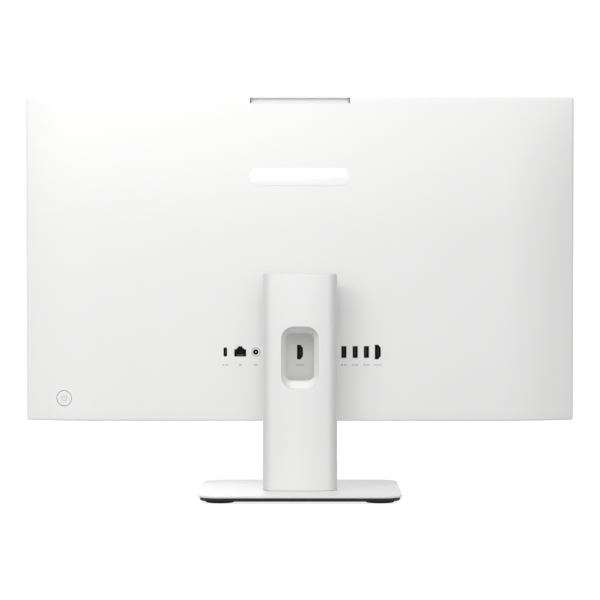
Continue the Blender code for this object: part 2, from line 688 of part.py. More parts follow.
# ------------------------------------------------------------------ electronics
def make_electronics():
    """Main board with what is plugged into it, speakers and aerials."""
    corners = [(0.100, 0.125), (0.100, 0.182), (-0.145, 0.182), (-0.145, 0.300), (-0.224, 0.300),
               (-0.224, 0.125)]
    pieces = [solid("mainboard", "circuit_board", add_prism, "Y", corners, BOARD_FRONT, BOARD_REAR)]
    spreader_low = (-0.200, BOARD_REAR + GAP, 0.214)
    pieces.append(box("cpu_heat_spreader", "copper", spreader_low, (-0.164, -0.0050, 0.250)))
    for number in (1, 2):
        y = -0.0150 + 0.0040 * number
        high = (-0.1524, y + 0.0014, 0.292)
        pieces.append(box(f"memory_module_{number}", "circuit_board", (-0.220, y, 0.262), high))
    pieces.append(box("ssd_module", "circuit_board", (-0.005, -0.0110, 0.127), (0.075, -0.0098, 0.149)))
    pieces.append(box("wifi_card", "circuit_board", (-0.060, -0.0110, 0.127), (-0.030, -0.0098, 0.149)))
    for side, word in ((1, "right"), (-1, "left")):
        xs = sorted((side * 0.150, side * 0.190))
        strip = ((xs[0], -0.0258, 0.4245), (xs[1], -0.0250, 0.4310))
        aerial = box(f"antenna_{word}", "circuit_board", *strip)
        xs = sorted((side * 0.135, side * 0.215))
        cabinet = ((xs[0], -0.0250, 0.088), (xs[1], -0.0040, 0.112))
        speaker = box(f"speaker_{word}", "black_plastic", *cabinet)
        cone = [(0.0085, 0.080), (0.0085, 0.089), (0.0040, 0.095)]
        cut(speaker, (add_turned, "Z", (side * 0.175, -0.0145), cone, 24))
        pieces += [aerial, speaker]
    outer = [(-0.0152, 0.1235), (-0.0152, 0.1180), (-0.0240, 0.1120), (-0.0240, 0.0960)]
    inner = [(y + 0.0006, z) for y, z in reversed(outer)]
    pieces.append(solid("display_cable", "black_plastic", add_prism, "X", outer + inner, 0.050, 0.070))
    return pieces


def make_cooling():
    """Heat pipe, fin stack and blower housing."""
    path = [(-0.182, 0.232), (-0.162, 0.200), (-0.140, 0.1885), (-0.068, 0.1885)]
    half = 0.004
    outline = []
    for side in (1, -1):
        row = []
        for i, point in enumerate(path):
            before = Vector(path[max(i - 1, 0)])
            after = Vector(path[min(i + 1, len(path) - 1)])
            along = (after - before).normalized()
            row.append((point[0] - side * half * along.y, point[1] + side * half * along.x))
        outline += row[::side]
    pipe = solid("heat_pipe", "copper", add_prism, "Y", outline, -0.0047, -0.0017)
    comb = []
    for i in range(FIN_COUNT):
        x = FIN_START + FIN_PITCH * i
        comb += [(x, -0.0110), (x, -0.0050), (x + FIN_THICKNESS, -0.0050), (x + FIN_THICKNESS, -0.0110)]
    comb[0] = (comb[0][0], -0.0120)
    comb[-1] = (comb[-1][0], -0.0120)
    stack = solid("heatsink_fins", "aluminium", add_prism, "Z", comb, 0.176, 0.201)
    x, z = FAN_CENTRE
    half = FAN_HALF_WIDTH
    corner = (x - half, -0.0120, z - half)
    housing = box("fan_housing", "black_plastic", corner, (x + half, -0.0015, z + half))
    cut(housing, (add_turned, "Y", FAN_CENTRE, [(0.031, -0.0108), (0.031, -0.0029)]),
        (add_turned, "Y", FAN_CENTRE, [(0.022, -0.0040), (0.022, 0.0)]),
        (add_box, (x - 0.025, -0.0106, z - half - 0.01), (x + 0.025, -0.0031, z - 0.020)))
    join(housing, (add_turned, "Y", FAN_CENTRE, [(0.0015, -0.0115), (0.0015, -0.0050)], 12))
    return [pipe, stack, housing]


def make_fan_rotor():
    """Hub with swept blades, turning on the pin of the housing."""
    x, z = FAN_CENTRE
    outline = []
    for blade in range(FAN_BLADES):
        start = 360 / FAN_BLADES * blade
        for radius, turn in ((0.012, 0), (0.020, 3), (0.028, 10), (0.028, 14), (0.020, 8), (0.012, 7)):
            angle = math.radians(start + turn)
            outline.append((x + radius * math.cos(angle), z + radius * math.sin(angle)))
    rotor = solid("fan_rotor", "black_plastic", add_prism, "Y", outline, -0.0102, -0.0036)
    cut(rotor, (add_turned, "Y", FAN_CENTRE, [(0.0019, -0.011), (0.0019, -0.0045)], 16))
    return rotor


# ------------------------------------------------------------------ pop-up camera and button
def make_camera():
    """White cap with a finger scoop under its lip, black stem and glass lens."""
    low = HEAD_TOP - CAMERA_CAP_HEIGHT
    rear = cover_rear(0, low)
    lip_low = HEAD_TOP - CAMERA_LIP
    tall = lip_low - low - CAMERA_BRIM
    scoop = [(rear + CAMERA_SCOOP_DEPTH * u, lip_low + tall * v) for u, v in arc((0, 0), 1, 270, 180, 6)]
    lip = [(-0.0166, lip_low), (-0.0170, HEAD_TOP)]
    outline = [(CAMERA_CAP_FRONT, low), (rear, low)] + scoop + lip + [(CAMERA_CAP_FRONT, HEAD_TOP)]
    half = CAMERA_HALF_WIDTH
    cap = solid("webcam_cap", "white_plastic", add_prism, "X", outline, -half, half)
    low_corner, high_corner = CAMERA_STEM
    stem = box("webcam_module", "black_plastic", low_corner, high_corner)
    front = low_corner[1]
    eye = (0.0, LENS_HEIGHT)
    seat = LENS_RADIUS + GAP
    cut(stem, (add_turned, "Y", eye, [(seat, front - 0.001), (seat, front + 0.0018)], 24))
    profile = [(LENS_RADIUS - 0.0008, front + 0.0001), (LENS_RADIUS, front + 0.0004),
               (LENS_RADIUS, front + 0.0015)]
    lens = solid("webcam_lens", "lens", add_turned, "Y", eye, profile, 24, smooth=True)
    return [cap, stem, lens]


def make_camera_guide():
    """Channel behind the panel in which the camera slides."""
    guide = box("webcam_guide", "black_plastic", (-0.054, -0.0258, 0.385), (0.054, -0.0189, 0.4358))
    cut(guide, (add_box, (-0.0504, -0.0250, 0.380), (0.0504, -0.0197, 0.440)))
    return guide


def make_button():
    """Flush round cap with a retaining flange and a stem."""
    flange = 0.0100
    profile = [(BUTTON_RADIUS, 0.0), (BUTTON_RADIUS, -0.0029), (flange, -0.0029), (flange, -0.0037),
               (0.0025, -0.0037), (0.0025, -0.0043)]
    return solid("power_button", "white_plastic", add_turned_at, button_frame(), profile, smooth=True)


def make_switch_board():
    """Small board with the switch that the button's stem presses."""
    matrix = button_frame()
    outline = rectangle(-0.012, 0.012, -0.008, 0.008)
    rings = [[matrix @ Vector((u, v, t)) for u, v in outline] for t in (-0.0102, -0.0090)]
    board = solid("button_switch_board", "circuit_board", add_loft, rings)
    switch = [(0.0030, -0.0095), (0.0030, -0.0065), (0.0015, -0.0065), (0.0015, -0.0058)]
    join(board, (add_turned_at, matrix, switch, 12))
    return board


# ------------------------------------------------------------------ assembly
def main():
    """Build every piece and hang the moving ones on their joints."""
    for obj in list(bpy.data.objects):
        bpy.data.objects.remove(obj, do_unlink=True)

    make_base()
    make_neck()
    make_stand_hinge()

    head = [make_rear_cover(), make_camera_guide(), make_switch_board()]
    head += make_display() + make_sockets() + make_electronics() + make_cooling() + make_head_hinge()
    tilt = pivot("head_tilt_axis", (0, HINGE_Y, HINGE_Z))
    for piece in head:
        attach(piece, tilt)

    camera_axis = pivot("webcam_slide_axis", (0, -0.0225, LENS_HEIGHT), tilt)
    for piece in make_camera():
        attach(piece, camera_axis)
    attach(make_button(), pivot("power_button_axis", button_frame().translation, tilt))
    fan_axis = pivot("fan_axis", (FAN_CENTRE[0], -0.007, FAN_CENTRE[1]), tilt)
    attach(make_fan_rotor(), fan_axis)


main()
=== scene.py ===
"""Looks of the all-in-one computer: fine shells, materials, light and camera.

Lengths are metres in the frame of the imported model: +Z up, the screen faces -Y, the sockets face +Y.
"""
import json
import math
import bmesh
import bpy
from mathutils import Matrix, Vector


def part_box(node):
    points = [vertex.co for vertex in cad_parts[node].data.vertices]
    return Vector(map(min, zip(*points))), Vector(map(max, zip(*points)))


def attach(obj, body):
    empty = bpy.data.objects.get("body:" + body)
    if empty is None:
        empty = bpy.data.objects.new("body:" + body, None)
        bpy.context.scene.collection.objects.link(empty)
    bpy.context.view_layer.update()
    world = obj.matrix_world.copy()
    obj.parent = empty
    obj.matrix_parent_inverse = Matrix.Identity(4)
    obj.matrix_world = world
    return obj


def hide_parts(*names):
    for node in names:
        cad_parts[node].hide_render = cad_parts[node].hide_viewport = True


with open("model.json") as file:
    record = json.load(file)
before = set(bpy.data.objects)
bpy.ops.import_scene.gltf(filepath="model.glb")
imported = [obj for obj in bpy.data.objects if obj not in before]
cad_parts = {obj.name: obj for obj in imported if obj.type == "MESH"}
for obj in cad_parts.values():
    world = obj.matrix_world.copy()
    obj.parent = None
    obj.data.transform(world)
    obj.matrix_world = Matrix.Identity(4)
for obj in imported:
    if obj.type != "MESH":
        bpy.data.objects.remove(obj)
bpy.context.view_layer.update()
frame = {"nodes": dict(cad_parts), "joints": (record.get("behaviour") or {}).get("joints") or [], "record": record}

HEAD = "head"
STAND = "stand"

# ------------------------------------------------------------------ places taken from the frame
COVER_LOW, COVER_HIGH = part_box("rear_cover")
FRAME_LOW, FRAME_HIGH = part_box("front_frame")
NECK_LOW, NECK_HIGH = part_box("neck_rear_shell")
FRONT_SHELL_LOW, FRONT_SHELL_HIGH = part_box("neck_front_shell")
LINER_LOW, LINER_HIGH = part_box("cable_hole_liner")
BASE_LOW, BASE_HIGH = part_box("base_cover")
WEIGHT_LOW, WEIGHT_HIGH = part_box("base_weight_plate")
CAP_LOW, CAP_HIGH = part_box("webcam_cap")
PANEL_LOW, PANEL_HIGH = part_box("lcd_panel")
JOINTS = {joint["name"]: joint for joint in frame["joints"]}

HALF_WIDTH = COVER_HIGH[0]
TOP = COVER_HIGH[2]
BOTTOM = COVER_LOW[2]
PLATEAU = COVER_HIGH[1]

# ------------------------------------------------------------------ shapes and sizes
RIM_REAR = -0.016
SIDE_RAMP = 0.080
TOP_RAMP = 0.150
COVER_WALL = 0.0022
RIM_RADIUS = 0.0025
NECK_REAR_ARC = 0.160
NECK_EDGE_RADIUS = 0.012
NECK_WALL = 0.002
MOUTH_LIP = 0.0008
HOLE_MOUTH = (0.0406, 0.068, 0.0135)
HOLE_THROAT = (0.0308, 0.0517, 0.0072)
HOLE_Z = (LINER_LOW[2] + LINER_HIGH[2]) / 2
BASE_CORNER = 0.022
CAP_SIDE_GAP = 0.0013
GAP = 0.0003
COVER_GRID_STEPS = 24
NECK_TOP_ROUND = 0.0003
MOUTH_FLARE = 0.0008
EAR_SLOT_SIDES = (0.0289, 0.0359)
HINGE_WINDOW_SIDE = 0.0289
BUTTON_X = 0.263
BUTTON_RADIUS = 0.0083
BUTTON_HOLE_RADIUS = 0.0089
SOCKET_CHAMFER = 0.00035
USB_C_OPENING = (0.0040, 0.0103, 0.0019)
USB_A_OPENING = (0.0057, 0.0132, 0.0006)
SHARP_ANGLE = math.radians(30)


# ------------------------------------------------------------------ outline helpers
def arc(centre, radius, start, end, steps):
    """Points on a circular arc between two angles in degrees."""
    points = []
    for i in range(steps + 1):
        angle = math.radians(start + (end - start) * i / steps)
        points.append((centre[0] + radius * math.cos(angle), centre[1] + radius * math.sin(angle)))
    return points


def circle(centre, radius, steps=48):
    """A full circle without its repeated last point."""
    return arc(centre, radius, 0, 360, steps)[:-1]


def rounded_rectangle(left, right, low, high, radius, steps=8):
    """Outline of a rectangle with round corners."""
    radius = max(radius, 0.00002)
    points = []
    corners = ((right - radius, high - radius), (left + radius, high - radius),
               (left + radius, low + radius), (right - radius, low + radius))
    for turn, corner in enumerate(corners):
        points += arc(corner, radius, 90 * turn, 90 * turn + 90, steps)
    return points


def centred(centre, width, height, radius, steps=8):
    """Rounded rectangle round a centre."""
    x, z = centre
    return rounded_rectangle(x - width / 2, x + width / 2, z - height / 2, z + height / 2, radius, steps)


def grown(outline, distance):
    """A convex outline moved outwards by a distance."""
    count = len(outline)
    points = []
    for i, (u, v) in enumerate(outline):
        before = Vector(outline[i - 1])
        after = Vector(outline[(i + 1) % count])
        here = Vector((u, v))
        first = (here - before).normalized()
        second = (after - here).normalized()
        normal = Vector((first.y + second.y, -first.x - second.x))
        normal.normalize()
        spread = max(0.5, normal.dot(Vector((second.y, -second.x))))
        points.append((u + normal.x * distance / spread, v + normal.y * distance / spread))
    return points


# ------------------------------------------------------------------ mesh helpers
def place(axis, u, v, t):
    """World point of outline point (u, v) at distance t along the axis."""
    if axis == "X":
        return Vector((t, u, v))
    if axis == "Y":
        return Vector((u, t, v))
    return Vector((u, v, t))


def add_loft(bm, rings, closed=False):
    """Skin rings of equal length, with end caps or closed round on itself."""
    rows = [[bm.verts.new(point) for point in ring] for ring in rings]
    count = len(rows[0])
    pairs = list(zip(rows, rows[1:]))
    if closed:
        pairs.append((rows[-1], rows[0]))
    else:
        bm.faces.new(rows[0])
        bm.faces.new(rows[-1])
    for row, following in pairs:
        for i in range(count):
            j = (i + 1) % count
            bm.faces.new((row[i], row[j], following[j], following[i]))


def add_sections(bm, axis, sections, closed=False):
    """Loft through (outline, distance along the axis) sections."""
    rings = [[place(axis, u, v, t) for u, v in outline] for outline, t in sections]
    add_loft(bm, rings, closed)


def add_prism(bm, axis, outline, start, end):
    """Extrude an outline from start to end along the axis."""
    add_sections(bm, axis, [(outline, start), (outline, end)])


def add_box(bm, low, high):
    """A box between two opposite corners."""
    outline = [(low[0], low[1]), (high[0], low[1]), (high[0], high[1]), (low[0], high[1])]
    add_prism(bm, "Z", outline, low[2], high[2])


def add_turned(bm, matrix, profile, steps=64, closed=False):
    """Turn a profile of (radius, height) round the local Z axis of a matrix."""
    rings = []
    for radius, t in profile:
        rings.append([matrix @ Vector((u, v, t)) for u, v in circle((0, 0), radius, steps)])
    add_loft(bm, rings, closed)


def link(name, bm):
    """Turn a bmesh into a smooth-shaded object whose faces point out."""
    bmesh.ops.recalc_face_normals(bm, faces=bm.faces)
    mesh = bpy.data.meshes.new(name)
    bm.to_mesh(mesh)
    bm.free()
    mesh.shade_smooth()
    mesh.set_sharp_from_angle(angle=SHARP_ANGLE)
    obj = bpy.data.objects.new(name, mesh)
    bpy.context.scene.collection.objects.link(obj)
    return obj


def piece(name, material, body, build, *args, **options):
    """A shown piece with a material, riding on a body."""
    bm = bmesh.new()
    build(bm, *args, **options)
    obj = link(name, bm)
    obj.data.materials.append(material)
    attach(obj, body)
    return obj


def cut(obj, *shapes):
    """Remove shapes, each (add_ function, arguments), and keep the result as the mesh."""
    for build, *args in shapes:
        bm = bmesh.new()
        build(bm, *args)
        tool = link(obj.name + "_tool", bm)
        modifier = obj.modifiers.new("cut", "BOOLEAN")
        modifier.operation = "DIFFERENCE"
        modifier.object = tool
        bpy.context.view_layer.update()
        depsgraph = bpy.context.evaluated_depsgraph_get()
        cut_mesh = bpy.data.meshes.new_from_object(obj.evaluated_get(depsgraph))
        obj.modifiers.remove(modifier)
        old = obj.data
        obj.data = cut_mesh
        bpy.data.meshes.remove(old)
        bpy.data.objects.remove(tool)
    obj.data.shade_smooth()
    obj.data.set_sharp_from_angle(angle=SHARP_ANGLE)


# ------------------------------------------------------------------ materials
BLACK = (0.0, 0.0, 0.0)


class Nodes:
    """Short hand for building a material's node tree."""

    def __init__(self, name):
        self.material = bpy.data.materials.new(name)
        self.material.use_nodes = True
        self.tree = self.material.node_tree
        self.shader = self.tree.nodes["Principled BSDF"]
        self.coordinates = self.add("ShaderNodeTexCoord")

    def add(self, kind, **settings):
        """Add a node and set its properties."""
        node = self.tree.nodes.new(kind)
        for key, value in settings.items():
            setattr(node, key, value)
        return node

    def link(self, source, target):
        """Join two sockets."""
        self.tree.links.new(source, target)

    def set(self, **inputs):
        """Set shader inputs, with underscores for spaces."""
        for key, value in inputs.items():
            self.shader.inputs[key.replace("_", " ")].default_value = value

    def noise(self, scale, detail=2.0, stretch=(1, 1, 1)):
        """Noise in the object's own metres."""
        mapping = self.add("ShaderNodeMapping")
        mapping.inputs["Scale"].default_value = stretch
        noise = self.add("ShaderNodeTexNoise")
        noise.inputs["Scale"].default_value = scale
        noise.inputs["Detail"].default_value = detail
        self.link(self.coordinates.outputs["Object"], mapping.inputs["Vector"])
        self.link(mapping.outputs["Vector"], noise.inputs["Vector"])
        return noise.outputs["Fac"]

    def ranged(self, value, low, high, start=0.3, end=0.7):
        """Map a value between start and end to low and high."""
        node = self.add("ShaderNodeMapRange")
        node.inputs["From Min"].default_value = start
        node.inputs["From Max"].default_value = end
        node.inputs["To Min"].default_value = low
        node.inputs["To Max"].default_value = high
        self.link(value, node.inputs["Value"])
        return node.outputs["Result"]

    def blend(self, factor, first, second):
        """Mix two colours, each a colour or a socket."""
        node = self.add("ShaderNodeMix", data_type="RGBA")
        colors = [socket for socket in node.inputs if socket.type == "RGBA"]
        self.link(factor, node.inputs[0])
        for socket, value in zip(colors, (first, second)):
            if isinstance(value, bpy.types.NodeSocket):
                self.link(value, socket)
            else:
                socket.default_value = (*value, 1.0)
        return [socket for socket in node.outputs if socket.type == "RGBA"][0]

    def calculate(self, operation, first, second=0.0):
        """Result of a math node on a socket and a number or socket."""
        node = self.add("ShaderNodeMath", operation=operation)
        self.link(first, node.inputs[0])
        if isinstance(second, bpy.types.NodeSocket):
            self.link(second, node.inputs[1])
        else:
            node.inputs[1].default_value = second
        return node.outputs[0]

    def along(self, axis, vector):
        """One axis of a vector socket."""
        split = self.add("ShaderNodeSeparateXYZ")
        self.link(vector, split.inputs[0])
        return split.outputs[axis]

    def normal(self, axis):
        """One axis of the face's direction, from -1 to 1."""
        return self.along(axis, self.add("ShaderNodeNewGeometry").outputs["Normal"])

    def position(self, axis):
        """One axis of the place in the object's own metres."""
        return self.along(axis, self.coordinates.outputs["Object"])

    def bump(self, heights, distance):
        """Chain bumps from (height socket, strength) pairs."""
        normal = None
        for height, strength in heights:
            node = self.add("ShaderNodeBump")
            node.inputs["Strength"].default_value = strength
            node.inputs["Distance"].default_value = distance
            self.link(height, node.inputs["Height"])
            if normal:
                self.link(normal, node.inputs["Normal"])
            normal = node.outputs["Normal"]
        self.link(normal, self.shader.inputs["Normal"])

    def worn_edges(self, color, worn, low=0.515, high=0.58, amount=0.5):
        """Blend towards a worn colour on convex edges."""
        geometry = self.add("ShaderNodeNewGeometry")
        factor = self.ranged(geometry.outputs["Pointiness"], 0.0, amount, low, high)
        return self.blend(factor, color, worn)


def shade(color, factor):
    """A colour made lighter or darker."""
    return tuple(min(1.0, part * factor) for part in color)


def plastic(name, color, roughness, grain=0.06, scale=1400.0, wear=0.25, coat=0.0,
            turned=0.0, over=0.0, under=0.0, shadow_band=None):
    """Moulded plastic with a fine eroded grain, uneven sheen and slightly rubbed edges.

    Painted shade: faces that look sideways darken towards black by up to the turned part,
    faces that look up by the over part and faces that look down by the under part. The
    painted shadow band is (low, high, part): the height range over which the colour darkens
    upwards by that part.
    """
    nodes = Nodes(name)
    cloud = nodes.noise(7.0, 3.0)
    fine = nodes.noise(scale, 2.0)
    tone = nodes.blend(nodes.ranged(cloud, 0.0, 1.0), shade(color, 0.985), color)
    fleck = nodes.blend(nodes.ranged(fine, 0.0, 0.35), tone, shade(color, 0.96))
    edge = nodes.worn_edges(fleck, shade(color, 1.06), amount=wear)
    # Painted shade: faces turned sideways are darkened towards black.
    if turned:
        sideways = nodes.calculate("ABSOLUTE", nodes.normal("X"))
        edge = nodes.blend(nodes.ranged(sideways, 0.0, turned, 0.05, 0.78), edge, BLACK)
    # Painted shade: faces that look up are darkened towards black.
    if over:
        edge = nodes.blend(nodes.ranged(nodes.normal("Z"), 0.0, over, 0.1, 0.9), edge, BLACK)
    # Painted shade: faces that look down are darkened towards black.
    if under:
        edge = nodes.blend(nodes.ranged(nodes.normal("Z"), under, 0.0, -0.9, 0.1), edge, BLACK)
    # Painted shadow: the colour darkens upwards over a height band.
    if shadow_band:
        low, high, part = shadow_band
        edge = nodes.blend(nodes.ranged(nodes.position("Z"), 0.0, part, low, high), edge, BLACK)
    # The colour now holds grain, rubbed edges and any painted shade from above.
    nodes.link(edge, nodes.shader.inputs["Base Color"])
    nodes.link(nodes.ranged(cloud, roughness - 0.04, roughness + 0.05), nodes.shader.inputs["Roughness"])
    nodes.bump([(fine, grain), (nodes.noise(scale / 6, 2.0), grain / 2)], 0.00008)
    nodes.set(Coat_Weight=coat)
    return nodes.material


def painted_metal(name, color, roughness, wear=0.3):
    """Powder coat: orange peel, fine speckle, and edges rubbed a little lighter."""
    nodes = Nodes(name)
    peel = nodes.noise(420.0, 2.0)
    speckle = nodes.noise(2600.0, 1.0)
    cloud = nodes.noise(9.0, 3.0)
    tone = nodes.blend(nodes.ranged(cloud, 0.0, 1.0), shade(color, 0.98), color)
    edge = nodes.worn_edges(tone, shade(color, 1.08), amount=wear)
    nodes.link(edge, nodes.shader.inputs["Base Color"])
    nodes.link(nodes.ranged(cloud, roughness - 0.05, roughness + 0.05), nodes.shader.inputs["Roughness"])
    nodes.bump([(peel, 0.08), (speckle, 0.05)], 0.00006)
    nodes.set(Metallic=0.05, Coat_Weight=0.05)
    return nodes.material


def bare_metal(name, color, roughness, stretch):
    """Brushed metal, with scratches along the direction that isn't stretched."""
    nodes = Nodes(name)
    brush = nodes.noise(900.0, 3.0, stretch)
    stain = nodes.noise(40.0, 3.0)
    tone = nodes.blend(nodes.ranged(brush, 0.0, 1.0), shade(color, 0.82), color)
    edge = nodes.worn_edges(tone, shade(color, 1.2), amount=0.6)
    nodes.link(edge, nodes.shader.inputs["Base Color"])
    nodes.link(nodes.ranged(stain, roughness - 0.08, roughness + 0.12), nodes.shader.inputs["Roughness"])
    nodes.bump([(brush, 0.12)], 0.00004)
    nodes.set(Metallic=1.0)
    return nodes.material


def rubber(name, color):
    """Matt rubber with a dusty, pebbled skin."""
    nodes = Nodes(name)
    pebble = nodes.noise(1100.0, 2.0)
    dust = nodes.noise(60.0, 4.0)
    tone = nodes.blend(nodes.ranged(dust, 0.0, 0.5), color, shade(color, 2.2))
    nodes.link(tone, nodes.shader.inputs["Base Color"])
    nodes.link(nodes.ranged(dust, 0.75, 0.92), nodes.shader.inputs["Roughness"])
    nodes.bump([(pebble, 0.25)], 0.0001)
    return nodes.material


def circuit_board(name):
    """Green solder mask over a hint of copper tracks."""
    nodes = Nodes(name)
    brick = nodes.add("ShaderNodeTexBrick")
    brick.inputs["Scale"].default_value = 160.0
    brick.inputs["Mortar Size"].default_value = 0.06
    nodes.link(nodes.coordinates.outputs["Object"], brick.inputs["Vector"])
    mottle = nodes.noise(300.0, 2.0)
    tone = nodes.blend(brick.outputs["Fac"], (0.012, 0.075, 0.035), (0.03, 0.13, 0.06))
    mixed = nodes.blend(nodes.ranged(mottle, 0.0, 0.4), tone, (0.008, 0.05, 0.025))
    nodes.link(mixed, nodes.shader.inputs["Base Color"])
    nodes.link(nodes.ranged(mottle, 0.35, 0.5), nodes.shader.inputs["Roughness"])
    nodes.bump([(brick.outputs["Fac"], 0.2)], 0.00005)
    return nodes.material


def display(name):
    """Switched-off anti-glare panel: a black border round a slightly lighter active area."""
    nodes = Nodes(name)
    middle = (PANEL_LOW[2] + PANEL_HIGH[2]) / 2 + 0.0004
    half_width = 0.2988
    half_height = 0.1681
    inside = []
    for axis, centre, half in (("X", 0.0, half_width), ("Z", middle, half_height)):
        offset = nodes.calculate("SUBTRACT", nodes.position(axis), centre)
        inside.append(nodes.calculate("LESS_THAN", nodes.calculate("ABSOLUTE", offset), half))
    both = nodes.calculate("MULTIPLY", *inside)
    sheen = nodes.noise(3.0, 2.0)
    active = nodes.blend(nodes.ranged(sheen, 0.0, 1.0), (0.010, 0.011, 0.014), (0.016, 0.017, 0.021))
    nodes.link(nodes.blend(both, (0.004, 0.004, 0.004), active), nodes.shader.inputs["Base Color"])
    nodes.link(nodes.ranged(both, 0.42, 0.28, 0.0, 1.0), nodes.shader.inputs["Roughness"])
    nodes.bump([(nodes.noise(5000.0, 1.0), 0.05)], 0.00003)
    nodes.set(Specular_IOR_Level=0.2)
    return nodes.material


def lens_glass(name):
    """Dark coated lens with a painted violet reflection of its coating that grows at grazing angles."""
    nodes = Nodes(name)
    layer = nodes.add("ShaderNodeLayerWeight")
    smear = nodes.noise(200.0, 2.0)
    # Painted reflection: the colour turns violet where the lens is seen at a grazing angle.
    tone = nodes.blend(layer.outputs["Facing"], (0.006, 0.006, 0.014), (0.05, 0.03, 0.09))
    nodes.link(tone, nodes.shader.inputs["Base Color"])
    nodes.link(nodes.ranged(smear, 0.03, 0.09), nodes.shader.inputs["Roughness"])
    nodes.set(Coat_Weight=1.0)
    return nodes.material


WHITE = (0.855, 0.855, 0.85)
MATERIALS = {
    # Shell white, with a little painted shade on its sideways faces.
    "white_shell": plastic("shell_white", WHITE, 0.50, turned=0.06),
    "white_base": painted_metal("base_white", (0.755, 0.755, 0.75), 0.42),
    "black_plastic": plastic("plastic_black", (0.018, 0.018, 0.019), 0.48, grain=0.12),
    "black_steel": painted_metal("steel_black", (0.016, 0.016, 0.017), 0.40),
    "rubber": rubber("rubber_black", (0.012, 0.012, 0.012)),
    "steel": bare_metal("steel_plated", (0.50, 0.50, 0.51), 0.34, (1, 1, 14)),
    "aluminium": bare_metal("aluminium_sheet", (0.72, 0.72, 0.73), 0.38, (14, 1, 1)),
    "copper": bare_metal("copper_bare", (0.70, 0.38, 0.24), 0.32, (1, 14, 1)),
    "circuit_board": circuit_board("board_green"),
    "display": display("panel_off"),
    "lens": lens_glass("lens_coated"),
}
# Funnel: a lighter white than the shell, standing in for light falling on its floor, with painted shade on its
# sideways and downward faces.
FUNNEL_WHITE = plastic("funnel_white", (0.90, 0.90, 0.895), 0.55, turned=0.14, under=0.28)
# Painted shadow under the camera cap's lip: the cap darkens upwards over its top few millimetres.
CAP_PAINTED_SHADOW = (CAP_HIGH[2] - 0.0044, CAP_HIGH[2] - 0.0012, 0.10)
CAP_WHITE = plastic("cap_white", WHITE, 0.50, shadow_band=CAP_PAINTED_SHADOW)
# Neck: painted shade on its sideways faces and on its top.
NECK_WHITE = plastic("neck_white", WHITE, 0.50, turned=0.24, over=0.22)
GLOSS_WHITE = plastic("badge_gloss_white", (0.94, 0.94, 0.94), 0.16, grain=0.01, coat=0.5)
GREY_PRINT = plastic("label_grey", (0.60, 0.60, 0.61), 0.60)
SIGN_GREY = plastic("sign_grey", (0.45, 0.45, 0.46), 0.60)
SOCKET_DARK = plastic("socket_black", (0.006, 0.006, 0.006), 0.60)
SOCKET_METAL = bare_metal("socket_shell", (0.10, 0.10, 0.10), 0.40, (1, 1, 10))
GOLD = bare_metal("contact_gold", (0.75, 0.55, 0.22), 0.30, (1, 10, 1))


# ------------------------------------------------------------------ rear cover
def swell(t):
    """Rise from 0 to 1 that levels out smoothly."""
    return 1 - (1 - min(1.0, max(0.0, t))) ** 2


def cover_rear(x, z):
    """Outer face of the rear cover."""
    side = swell((HALF_WIDTH - abs(x)) / SIDE_RAMP)
    top = swell((TOP - z) / TOP_RAMP)
    return RIM_REAR + (PLATEAU - RIM_REAR) * side * top


def rim_distances(ramp, steps, inset, radius):
    """Distances from an edge at which the cover's grid has its lines."""
    turns = range(90, 0, -15) if radius else ()
    rim = [radius * (1 - math.sin(math.radians(turn))) for turn in turns]
    return rim + [max(inset, radius)] + [ramp * i / steps for i in range(1, steps + 1)]


def cover_point(x, z, inset, radius):
    """Point of the rear face, with the rim and the corners rounded to the radius."""
    middle = (TOP + BOTTOM) / 2
    flat_x = HALF_WIDTH - radius
    flat_z = (TOP - BOTTOM) / 2 - radius
    out_x = max(0.0, abs(x) - flat_x)
    out_z = max(0.0, abs(z - middle) - flat_z)
    reach = min(radius, max(out_x, out_z))
    if reach > 0:
        scale = reach / math.hypot(out_x, out_z)
        x = math.copysign(min(abs(x), flat_x) + out_x * scale, x)
        z = middle + math.copysign(min(abs(z - middle), flat_z) + out_z * scale, z - middle)
    drop = radius - math.sqrt(max(0.0, radius ** 2 - reach ** 2))
    return Vector((x, cover_rear(x, z) - inset - drop, z))


def add_cover_block(bm, inset, front, radius, side_steps, top_steps):
    """Solid with the cover's rear face and side walls, all moved inwards by the inset.

    The grid has extra rows above, through and below the sockets and the button.
    """
    sides = rim_distances(SIDE_RAMP, side_steps, inset, radius)
    tops = rim_distances(TOP_RAMP, top_steps, inset, radius)
    feet = rim_distances(0, 0, inset, radius)
    columns = [-HALF_WIDTH + step for step in sides]
    columns += [HALF_WIDTH - step for step in reversed(sides)]
    reach = 0.0105
    openings = [z + step for z in (SOCKET_Z, BUTTON_Z) for step in (reach, 0.0, -reach)]
    rows = [TOP - step for step in tops] + openings + [BOTTOM + step for step in reversed(feet)]
    grid = [[bm.verts.new(cover_point(x, z, inset, radius)) for x in columns] for z in rows]
    for upper, lower in zip(grid, grid[1:]):
        for i in range(len(columns) - 1):
            bm.faces.new((upper[i], lower[i], lower[i + 1], upper[i + 1]))
    edge = grid[0] + [row[-1] for row in grid[1:-1]] + grid[-1][::-1] + [row[0] for row in grid[-2:0:-1]]
    screen_side = [bm.verts.new((vert.co.x, front, vert.co.z)) for vert in edge]
    for i, vert in enumerate(edge):
        j = (i + 1) % len(edge)
        bm.faces.new((vert, screen_side[i], screen_side[j], edge[j]))
    bm.faces.new(screen_side)


def socket_centre(node):
    """Middle of a socket's body in x and z."""
    low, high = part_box(node)
    return (low[0] + high[0]) / 2, (low[2] + high[2]) / 2


SOCKET_Z = socket_centre("hdmi_out_port")[1]
BUTTON_Z = socket_centre("power_button")[1]
POWER_JACK_RADIUS = 0.0029
JACK_GROOVE = (0.0044, 0.00475)


